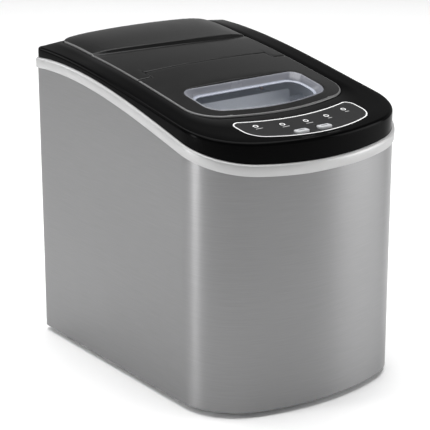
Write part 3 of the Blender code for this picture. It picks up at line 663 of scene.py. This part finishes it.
def lid_outline(inset=0.0):
    """The lid seen from above: the panel's front, cut off at its shoulders, with the hinge tongue."""
    side = PANEL_HALF - 0.6 - inset
    front = [point for point in panel_outline(0.6 + inset) if point[1] < LID_SHOULDER - inset - 1.0]
    tongue, shoulder, rear = TONGUE_HALF - inset, LID_SHOULDER - inset, TONGUE_REAR - inset
    return [
        *front,
        (side, shoulder - 1.0),
        (side - 0.3, shoulder - 0.3),
        (side - 1.0, shoulder),
        (tongue + 0.5, shoulder),
        (tongue, shoulder + 0.5),
        (tongue, rear - 0.8),
        (tongue - 0.8, rear),
        *[(tongue - 0.8 - (2 * tongue - 1.6) * i / 20, rear) for i in range(1, 20)],
        (0.8 - tongue, rear),
        (-tongue, rear - 0.8),
        (-tongue, shoulder + 0.5),
        (-tongue - 0.5, shoulder),
        (1.0 - side, shoulder),
        (0.3 - side, shoulder - 0.3),
        (-side, shoulder - 1.0),
    ]


def make_lid():
    """The lid is skinned between its outline and the window's, along rays from the window's middle."""
    centre = (0.0, (WINDOW_REAR + WINDOW_FRONT) / 2)
    angles = sorted({round(math.atan2(y - centre[1], x - centre[0]), 5) for x, y in lid_outline()})
    angles += [-math.pi + 2 * math.pi * (i + 0.5) / 240 for i in range(240)]
    angles = sorted(angles)

    def at(outline):
        return ray_points(outline, centre, angles)

    outer = [(inset, drop) for inset, drop in fillet(PANEL_EDGE)]
    rings = [lifted(at(lid_outline()), panel(PANEL_THICKNESS))]
    rings += [lifted(at(lid_outline(inset)), panel(drop)) for inset, drop in outer]
    edge, hole = at(lid_outline(PANEL_EDGE)), at(window_outline(-1.0))
    rings += [lifted(mixed(edge, hole, share), panel(0.0)) for share in (0.04, 0.12, 0.25, 0.45, 0.65, 0.85)]
    for inset, drop in reversed(fillet(1.0, 4)):
        rings.append(lifted(at(window_outline(-inset)), panel(drop)))
    rings.append(lifted(at(window_outline()), panel(PANEL_THICKNESS + 1.0)))
    rings.append(lifted(at(window_outline(-2.0)), panel(PANEL_THICKNESS + 1.0)))
    rings.append(lifted(at(window_outline(-2.0)), panel(PANEL_THICKNESS)))
    build = loft(rings, True)
    mark_painted_highlight_edge(build)
    for side in (-1, 1):
        inner, outer_end = side * 60.0, side * (TONGUE_HALF - 0.6)
        start, end = min(inner, outer_end), max(inner, outer_end)
        add_barrel(build, start, end)
    finished("lid_shell", build, "satin_black", "lid", ["lid_frame"], 35.0, "edge")


def mark_painted_highlight_edge(build):
    """Gives the rolled edge round the panel's sides and front a lighter colour, a painted highlight along the
    edge.
    """
    bow_y = PANEL_FRONT + PANEL_RADIUS
    for face in build.faces:
        place = face.calc_center_median()
        side_gap = PANEL_HALF - 0.6 - abs(place.x)
        front_gap = PANEL_RADIUS - 0.6 - math.hypot(place.x, place.y - bow_y)
        corner = Vector((PANEL_HALF - PANEL_CORNER, CORNER_Y))
        reach = Vector((abs(place.x) - corner.x, place.y - corner.y))
        in_corner = place.y < corner.y and abs(place.x) > corner.x
        corner_gap = PANEL_CORNER - 0.6 - reach.length if in_corner else side_gap
        near = min(side_gap, front_gap, corner_gap) < PANEL_EDGE
        high = place.z > panel_height(place.x, place.y) - PANEL_EDGE
        if near and high:
            face.material_index = 1


def add_barrel(build, start, end):
    """A hinge barrel round the pin."""
    rings = []
    for x in (start, end):
        rings.append([(x, y, z) for y, z in arc((HINGE.y, HINGE.z), 3.3, 0, 345, 23)])
        rings.append([(x, y, z) for y, z in arc((HINGE.y, HINGE.z), 1.75, 0, 345, 23)])
    add_loft(build, [rings[0], rings[2], rings[3], rings[1]], True)


def make_window():
    """A dished window: a bezel whose walls go down from the lid, a lighter lip along the foot of the walls that is
    a painted highlight, and a flat clear pane.
    """
    wall = [(0.3, 2.2, 0), (0.3, 0.5, 0), (0.7, 0.15, 0), (1.4, 0.1, 0), (2.0, 0.5, 0), (3.4, 3.4, 4)]
    wall += [(4.8, WINDOW_DEPTH - 0.8, 9), (5.4, WINDOW_DEPTH + 0.9, 9), (1.8, 2.2, 0)]
    rings = [lifted(window_outline(inset, extra), panel(drop)) for inset, drop, extra in wall]
    finished("window_bezel", loft(rings, True), "bezel", "lid")
    # The lip is the fillet at the foot of the walls, coloured lighter than the bezel as a painted highlight.
    lip = [(4.85, WINDOW_DEPTH - 0.9), (5.2, WINDOW_DEPTH - 0.3), (6.2, WINDOW_DEPTH + 0.1)]
    lip += [(7.8, WINDOW_DEPTH + 0.2), (7.8, WINDOW_DEPTH + 1.0), (5.5, WINDOW_DEPTH + 0.9)]
    rings = [lifted(window_outline(inset, 9), panel(drop)) for inset, drop in lip]
    finished("window_lip_painted_highlight", loft(rings, True), "lip", "lid")
    shares = (1.0, 0.97, 0.85, 0.6, 0.3, 0.05)
    edge = window_outline(7.85, 9)
    over = [lifted(shrunk(edge, share), panel(WINDOW_DEPTH)) for share in shares]
    below = [lifted(shrunk(edge, share), panel(WINDOW_DEPTH + 1.6)) for share in reversed(shares)]
    finished("window_pane", loft(below + over), "clear", "lid", ["lid_window"])


def riser_place(x):
    """Where the raised rear part of the cover begins, on a line that bows forwards."""
    return RISER_Y - RISER_BOW * (1 - (x / PANEL_HALF) ** 2) - RISER_SKEW * x / PANEL_HALF


def cover_height(x, y):
    """The rear cover has a shallow valley across it and a raised, crowned part behind."""
    across = min(abs(x) / PANEL_HALF, 1.0)
    start = riser_place(x)
    valley = VALLEY * smooth(start - 3.0, start, y) * (1 - smooth(start, start + RISER_RUN, y))
    rise = RISE * (1 - across**8) * smooth(start, start + RISER_RUN, y)
    return panel_height(x, y) - valley + rise + rear_lift(y)


def make_rear_cover():
    """Columns from the seam to the rear edge, closed underneath and rolled over along every edge."""
    half = PANEL_HALF - 0.6
    tongue = TONGUE_HALF + 0.7
    shoulder_front, tongue_front = LID_SHOULDER + SEAM, TONGUE_REAR + SEAM
    rear, corner = PANEL_REAR - 0.6, PANEL_REAR_CORNER
    insets = [0.0, 0.15, 0.5, 1.0, PANEL_EDGE]
    xs = [half - i for i in insets]
    corner_turns = [math.radians(a) for a in (12, 24, 36, 48, 60, 75, 90)]
    xs += [half - corner + corner * math.cos(turn) for turn in corner_turns]
    xs = [x for x in xs if x > tongue + PANEL_EDGE + 0.1] + [tongue + i for i in reversed(insets)]
    xs += [tongue - 0.001]
    inner_steps = 24
    inner = [tongue * (1 - 2 * i / inner_steps) for i in range(1, inner_steps)]
    xs = sorted(set(xs), reverse=True)
    xs = xs + inner + [-x for x in reversed(xs)]
    build = bmesh.new()
    tops, unders = [], []
    for x in xs:
        start = shoulder_front if abs(x) >= tongue else tongue_front
        over = abs(x) - (half - corner)
        end = rear if over <= 0 else rear - corner + math.sqrt(max(corner**2 - over**2, 0.0))
        ys = [start + i for i in insets]
        place = riser_place(x)
        steps = [place + d for d in (-3.0, -2.0, -1.0, 0.0, 0.5, 1.0, 1.5, 2.0, 2.5, 3.0, 4.0)]
        middle = [start + PANEL_EDGE + (LEVEL_ROW - start - PANEL_EDGE) * i / 3 for i in range(1, 4)]
        middle += [LEVEL_ROW + (steps[0] - LEVEL_ROW) * i / 7 for i in range(1, 7)] + steps
        middle += [steps[-1] + (end - PANEL_EDGE - steps[-1]) * i / 8 for i in range(1, 8)]
        ys += middle + [end - i for i in reversed(insets)]
        row = []
        for y in ys:
            near = min(half - abs(x), end - y, y - start)
            if abs(x) >= tongue and start == shoulder_front and y < tongue_front + PANEL_EDGE:
                beside = abs(x) - tongue
                near = min(near, beside if y < tongue_front else max(beside, y - tongue_front))
            drop = 0.0
            if near < PANEL_EDGE:
                drop = PANEL_EDGE - math.sqrt(max(PANEL_EDGE**2 - (PANEL_EDGE - max(near, 0.0)) ** 2, 0.0))
            row.append((x, y, cover_height(x, y) - drop))
        tops.append(row)
        unders.append([(px, py, cover_height(px, py) - PANEL_THICKNESS) for px, py, _ in row])
    top = [[build.verts.new(point) for point in row] for row in tops]
    under = [[build.verts.new(point) for point in row] for row in unders]
    last = len(top[0]) - 1
    for i in range(len(top) - 1):
        for j in range(last):
            build.faces.new((top[i][j], top[i + 1][j], top[i + 1][j + 1], top[i][j + 1]))
            build.faces.new((under[i][j], under[i][j + 1], under[i + 1][j + 1], under[i + 1][j]))
        for j in (0, last):
            build.faces.new((top[i][j], under[i][j], under[i + 1][j], top[i + 1][j]))
    for i in (0, len(top) - 1):
        for j in range(last):
            build.faces.new((top[i][j], top[i][j + 1], under[i][j + 1], under[i][j]))
    mark_painted_highlight_edge(build)
    for side in (-1, 1):
        ends = sorted((side * (TONGUE_HALF + 1.2), side * 88.8))
        add_barrel(build, *ends)
    finished("rear_cover_shell", build, "satin_black", "case", ["rear_cover"], 35.0, "edge")


# ---- Control panel -----------------------------------------------------------------------


def button_names():
    return [name for name in frame["nodes"] if name.startswith("button_")]


def button_wells():
    """Clear holes for the buttons, a little larger than they are."""
    build = bmesh.new()
    for name in sorted(button_names()):
        low, high = node_box(name)
        room = 0.35
        outline = rounded_box((low.x - room, low.y - room), (high.x + room, high.y + room), 2.4)
        add_loft(build, [lifted(outline, 250.0), lifted(outline, 300.0)])
    return build


def film(share_drop):
    return deck(TOP_DROP - share_drop)


def make_overlay():
    """A printed film with a white line set in from its edge."""
    shares = (1.0, 0.99, 0.8, 0.5, 0.2, 0.03)
    edge = overlay_outline()
    over = [lifted(shrunk(edge, share), film(0.3)) for share in shares]
    below = [lifted(shrunk(edge, share), film(0.08)) for share in reversed(shares)]
    sheet = finished("control_film", loft(below + over), "overlay", "case", ["control_overlay"])
    cut(sheet, button_wells())
    rings = [
        lifted(overlay_outline(0.2), film(0.31)),
        lifted(overlay_outline(0.2), film(0.42)),
        lifted(overlay_outline(1.5), film(0.42)),
        lifted(overlay_outline(1.5), film(0.31)),
    ]
    finished("panel_outline", loft(rings, True), "print", "case")


def make_lamps():
    """Each lamp is a small dark lens in a printed ring, with a short printed bar in front of it."""
    for i in range(1, 6):
        node = f"status_lamp_{i}"
        low, high = node_box(node)
        x, y = (low.x + high.x) / 2, (low.y + high.y) / 2
        z = film(0.3)(x, y)
        build = bmesh.new()
        profile = [(1.5, -6.0), (1.5, 0.05), (1.35, 0.25), (0.8, 0.42), (0.0, 0.48)]
        add_turned(build, profile, (x, y, z), steps=24)
        finished(f"lamp_lens_{i}", build, "lens", "case", [node])
        build = bmesh.new()
        rings = []
        for radius, rise in ((1.8, 0.01), (1.8, 0.12), (2.8, 0.12), (2.8, 0.01)):
            rings.append([(px, py, film(0.3 + rise)(px, py)) for px, py in arc((x, y), radius, 0, 350, 35)])
        add_loft(build, rings, True)
        finished(f"lamp_ring_{i}", build, "print", "case")
        half = SHORT_MARK if i > 3 else LONG_MARK
        bar = rounded_box((x - half, y - 6.6), (x + half, y - 5.4), 0.5)
        build = bmesh.new()
        add_loft(build, [lifted(bar, film(0.31)), lifted(bar, film(0.4))])
        finished(f"lamp_mark_{i}", build, "print_grey", "case")


def make_buttons():
    for name in sorted(button_names()):
        low, high = node_box(name)
        build = bmesh.new()
        add_button(build, low, high)
        body = f"{name.removeprefix('button_')}_button"
        finished(f"{name}_cap", build, "button_grey", body, [name])
        x, y = (low.x + high.x) / 2, (low.y + high.y) / 2
        bar = rounded_box((x - 3.6, y - 0.9), (x + 3.6, y + 0.9), 0.7)
        build = bmesh.new()
        add_loft(build, [lifted(bar, high.z - 0.05), lifted(bar, high.z + 0.06)])
        finished(f"{name}_mark", build, "ink", body)


def add_button(build, low, high):
    rings = [(0.0, low.z), (0.0, high.z - 1.1)]
    for inset, drop in fillet(0.9, 5):
        rings.append((inset, high.z - drop))
    add_loft(build, [lifted(rounded_box(low, high, 2.2, inset), z) for inset, z in rings])


# ---- Inside ------------------------------------------------------------------------------


def make_shovel():
    """A shaft with a scooped blade whose lip turns forwards, and the fingers that clear the tray."""
    low, high = node_box("ice_shovel")
    axis = joint_place("shovel_sweep")
    half = BLADE_HALF
    build = bmesh.new()
    face = [(-1.6, 11.0), (-2.0, 6.0), (-2.8, 0.0), (-4.4, -5.0), (-7.4, -9.5), (-12.0, -12.6)]
    back = [(-11.4, -14.6), (-6.0, -11.6), (-2.4, -6.0), (-0.8, 0.0), (0.2, 6.0), (0.2, 11.0)]
    rings = []
    for x, share in ((-half, 0.8), (-half + 1.5, 1.0), (half - 1.5, 1.0), (half, 0.8)):
        rings.append([(x, axis.y + y * share, axis.z + z * share) for y, z in face + back])
    add_loft(build, rings)
    shaft = [(2.0, low.x), (2.6, low.x + 0.8), (2.6, high.x - 0.8), (2.0, high.x)]
    add_turned(build, shaft, (0.0, axis.y, axis.z), "X")
    for i in range(6):
        x = -60.0 + 24.0 * i
        add_slab(build, (x - 7.6, axis.y - 1.2, low.z), (x + 7.6, axis.y + 1.2, axis.z - 4.0), 1.1)
    finished("shovel_blade", build, "white", "shovel", ["ice_shovel"])


def make_tray():
    """A shallow trough with rolled rims, rounded corners and the ears and stubs it turns on."""
    axis = joint_place("tray_tilt")
    low, high = node_box("water_tray")
    corner, far = (-66.0, -16.0), (66.0, 18.0)
    profile = [(2.2, low.z), (0.6, low.z + 0.6), (0.0, low.z + 2.2), (0.0, axis.z - 1.6)]
    profile += [(-0.6, axis.z - 1.0), (-0.6, axis.z - 0.2), (0.0, axis.z), (1.8, axis.z)]
    profile += [(2.0, low.z + 4.0), (4.0, low.z + 2.0)]
    build = bmesh.new()
    add_loft(build, [lifted(rounded_box(corner, far, TRAY_CORNER, inset), z) for inset, z in profile])
    for start, end in ((low.x, -65.0), (65.0, high.x)):
        profile = [(2.6, start), (3.2, start + 0.6), (3.2, end - 0.6), (2.6, end)]
        add_turned(build, profile, (0.0, axis.y, axis.z), "X")
        ear = (-65.9, -64.4) if start < 0 else (64.4, 65.9)
        add_slab(build, (ear[0], 12.0, 240.0), (ear[1], 23.2, 255.2), 0.7)
    finished("tray_trough", build, "white", "tray", ["water_tray"])


def make_basket():
    """A tapered tub with a rolled rim and a slotted floor."""
    low, high = node_box("ice_basket")
    profile = [(5.2, low.z), (4.2, low.z + 0.6), (3.9, low.z + 2.0), (0.6, high.z - 3.0), (0.0, high.z - 2.4)]
    profile += [(0.0, high.z - 0.5), (0.5, high.z), (1.9, high.z), (2.5, high.z - 0.6)]
    profile += [(5.9, low.z + 3.0), (7.0, low.z + 2.0)]
    build = bmesh.new()
    add_loft(build, [lifted(rounded_box(low, high, BASKET_CORNER, inset), z) for inset, z in profile])
    basket = finished("basket_tub", build, "grey", "basket", ["ice_basket"])
    slots = bmesh.new()
    for i in range(7):
        x = -60.0 + 20.0 * i
        outline = rounded_box((x - 3.6, -72.0), (x + 3.6, -46.0), 3.4)
        add_loft(slots, [lifted(outline, low.z - 3.0), lifted(outline, low.z + 5.0)])
    cut(basket, slots)


def make_louvres():
    """A pressed hood over each of the rear panel's slots."""
    _, high = node_box("rear_panel")
    build = bmesh.new()
    for x in (-104.0, 24.0):
        for i in range(8):
            z = 60.0 + 13.0 * i
            section = [(0.02, 8.6), (0.9, 7.6), (1.7, 5.6), (1.7, 4.6), (1.1, 4.8), (0.5, 6.4), (0.02, 7.0)]
            rings = []
            for at, share in ((x + 0.5, 0.1), (x + 3.5, 1.0), (x + 76.5, 1.0), (x + 79.5, 0.1)):
                rings.append([(at, high.y + 0.03 + y * share, z + rise) for y, rise in section])
            add_loft(build, rings)
    finished("rear_louvres", build, "galvanised", "case")


# ---- Feet and screws ---------------------------------------------------------------------


def make_feet():
    for end in ("front", "rear"):
        for side in ("left", "right"):
            node = f"foot_{end}_{side}"
            low, high = node_box(node)
            x, y, tall = (low.x + high.x) / 2, (low.y + high.y) / 2, high.z
            profile = [(3.0, 0.6), (3.4, 0.1), (4.4, 0.0), (8.2, 0.0), (9.2, 0.4), (9.7, 1.2)]
            profile += [(10.0, 2.2), (10.0, tall - 0.3), (9.8, tall)]
            build = bmesh.new()
            add_turned(build, profile, (x, y, 0.0), steps=40)
            finished(f"rubber_{node}", build, "rubber", "case", [node])


def make_screws():
    """Domed heads with a round recess for the driver."""
    profile = [(3.6, 0.0), (3.6, 0.5), (3.3, 0.9), (2.6, 1.3), (1.9, 1.45)]
    profile += [(1.6, 1.35), (1.2, 0.7), (0.0, 0.55)]
    for level in ("low", "high"):
        for side in ("left", "right"):
            node = f"rear_screw_{level}_{side}"
            low, high = node_box(node)
            build = bmesh.new()
            add_turned(build, profile, ((low.x + high.x) / 2, low.y, (low.z + high.z) / 2), "Y")
            finished(f"head_{node}", build, "screw", "case", [node])


# ---- Stage -------------------------------------------------------------------------------


def make_stage():
    """A plain pale floor, soft lights and a dim surrounding."""
    bpy.ops.mesh.primitive_plane_add(size=14.0, location=(0.0, 0.0, 0.0))
    floor = bpy.context.object
    floor.name = "floor"
    shader = Shader("floor", 0.7, specular=0.1)
    shader.colour(shader.noise(2.0), (0.93, 0.93, 0.93), (0.95, 0.95, 0.95))
    floor.data.materials.append(shader.made)
    for name, place, size, power in LIGHTS:
        light = bpy.data.lights.new(name, "AREA")
        light.shape = "RECTANGLE"
        light.size, light.size_y = size
        light.energy = power
        lamp = bpy.data.objects.new(name, light)
        lamp.location = place
        lamp.rotation_euler = (Vector((0.0, 0.0, 0.15)) - Vector(place)).to_track_quat("-Z", "Y").to_euler()
        bpy.context.scene.collection.objects.link(lamp)
    world = bpy.data.worlds.new("studio")
    world.use_nodes = True
    tree = world.node_tree
    background = tree.nodes["Background"]
    place = tree.nodes.new("ShaderNodeTexCoord")
    split = tree.nodes.new("ShaderNodeSeparateXYZ")
    ramp = tree.nodes.new("ShaderNodeValToRGB")
    ramp.color_ramp.elements[0].position = 0.30
    ramp.color_ramp.elements[1].position = 0.55
    ramp.color_ramp.elements[0].color = (0.42, 0.42, 0.42, 1.0)
    ramp.color_ramp.elements[1].color = (0.15, 0.15, 0.15, 1.0)
    tree.links.new(place.outputs["Generated"], split.inputs["Vector"])
    tree.links.new(split.outputs["Z"], ramp.inputs["Fac"])
    tree.links.new(ramp.outputs["Color"], background.inputs["Color"])
    background.inputs["Strength"].default_value = 1.0
    bpy.context.scene.world = world
    bpy.context.scene.view_settings.view_transform = "Standard"


def make_camera():
    """The camera looks level across the case from the front left, with no shift."""
    forward = Vector(
        (
            math.sin(CAMERA_TURN) * math.cos(CAMERA_TILT),
            math.cos(CAMERA_TURN) * math.cos(CAMERA_TILT),
            -math.sin(CAMERA_TILT),
        )
    )
    right = Vector((math.cos(CAMERA_TURN), -math.sin(CAMERA_TURN), 0.0))
    up = right.cross(forward)
    lens = bpy.data.cameras.new("camera")
    lens.lens = CAMERA_LENS
    lens.sensor_width = 36.0
    lens.clip_end = 50.0
    camera = bpy.data.objects.new("camera", lens)
    turn = Matrix((right, up, -forward)).transposed().to_4x4()
    camera.matrix_world = Matrix.Translation(CAMERA_PLACE * MM) @ turn
    bpy.context.scene.collection.objects.link(camera)
    bpy.context.scene.camera = camera


make_camera()
make_stage()
dress_cad()
make_casing()
make_trim()
make_housing()
make_lid()
make_window()
make_rear_cover()
make_overlay()
make_lamps()
make_buttons()
make_shovel()
make_tray()
make_basket()
make_louvres()
make_feet()
make_screws()

bpy.context.view_layer.update()
